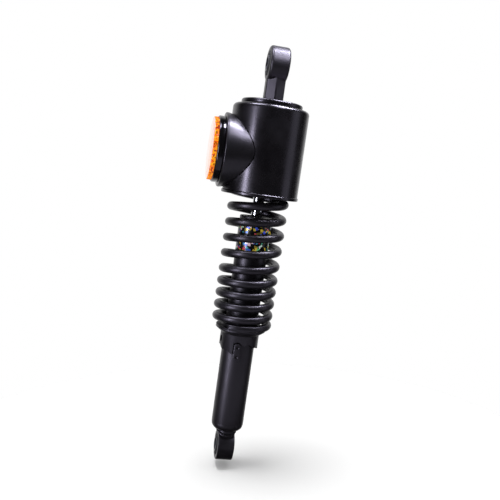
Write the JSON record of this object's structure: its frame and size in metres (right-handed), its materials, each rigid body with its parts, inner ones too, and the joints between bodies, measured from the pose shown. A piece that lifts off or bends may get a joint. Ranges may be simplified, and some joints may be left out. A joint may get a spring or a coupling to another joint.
{
  "type": "rear shock absorber",
  "caption": "Twin-shock rear suspension unit: coil spring on a damper with rubber-bushed eyes, a shroud, a cam preload ring and a side reflector.",
  "frame": {"origin": "centre of the lower eye's bore", "axes": "+Z along the shock towards the upper eye, X along both eyes' bores, the reflector faces -X"},
  "size_m": [0.0816, 0.0672, 0.3685],
  "materials": {
    "black_paint": "satin black paint",
    "shroud_paint": "gloss black paint",
    "spring_paint": "semi-gloss black powder coat",
    "black_plastic": "gloss black",
    "amber_lens": "clear amber, prismatic inside",
    "rubber": "matt black",
    "chrome": "hard chrome, polished",
    "zinc_steel": "zinc plated",
    "dark_steel": "black phosphated",
    "bare_steel": "machined",
    "bronze": "sintered bronze"
  },
  "bodies": {
    "damper": {"damper_tube": "black_paint", "lower_eye": "black_paint", "lower_bush": "rubber", "inner_cylinder": "bare_steel", "base_valve": "bare_steel", "rod_guide": "bronze", "oil_seal": "rubber", "gland_cap": "black_paint", "dust_wiper": "rubber", "front_stop_lug": "black_paint", "rear_stop_lug": "black_paint", "spring": "spring_paint"},
    "top_half": {"upper_eye": "black_paint", "upper_bush": "rubber", "rod": "chrome", "piston": "bare_steel", "piston_ring": "bronze", "piston_nut": "zinc_steel", "rebound_stop": "zinc_steel", "top_cap": "shroud_paint", "shroud": "shroud_paint", "upper_spring_seat": "zinc_steel", "rod_lock_nut": "zinc_steel", "bump_stop": "rubber", "reflector_housing": "black_plastic", "reflector_base": "black_plastic", "reflector_lens": "amber_lens", "reflector_stud": "zinc_steel", "reflector_nut": "zinc_steel"},
    "spring_seat": {"lower_spring_seat": "black_paint"},
    "preload_ring": {"cam_ring": "black_paint"},
    "lower_bolt_sleeve": {"lower_sleeve": "dark_steel"},
    "upper_bolt_sleeve": {"upper_sleeve": "dark_steel"}
  },
  "joints": [
    {"name": "compression", "type": "slide", "parent": "damper", "child": "top_half", "axis": [0, 0, -1], "range_m": [0, 0.06], "stiffness_N_per_m": 18000, "springref_m": -0.012, "deforming": ["spring", "bump_stop"]},
    {"name": "preload_lift", "type": "slide", "parent": "damper", "child": "spring_seat", "axis": [0, 0, 1], "range_m": [0, 0.0084], "deforming": ["spring"]},
    {"name": "preload_turn", "type": "hinge", "parent": "spring_seat", "child": "preload_ring", "pos_m": [0, 0, 0.1], "axis": [0, 0, -1], "range_deg": [0, 144]},
    {"name": "lower_sleeve_twist", "type": "hinge", "parent": "damper", "child": "lower_bolt_sleeve", "pos_m": [0, 0, 0], "axis": [1, 0, 0], "range_deg": [-10, 10], "stiffness_Nm_per_rad": 6},
    {"name": "upper_sleeve_twist", "type": "hinge", "parent": "top_half", "child": "upper_bolt_sleeve", "pos_m": [0, 0, 0.34], "axis": [1, 0, 0], "range_deg": [-10, 10], "stiffness_Nm_per_rad": 6}
  ],
  "couplings": [
    {"joint": "preload_turn", "follows": "preload_lift", "rad_per_m": 299.2}
  ]
}
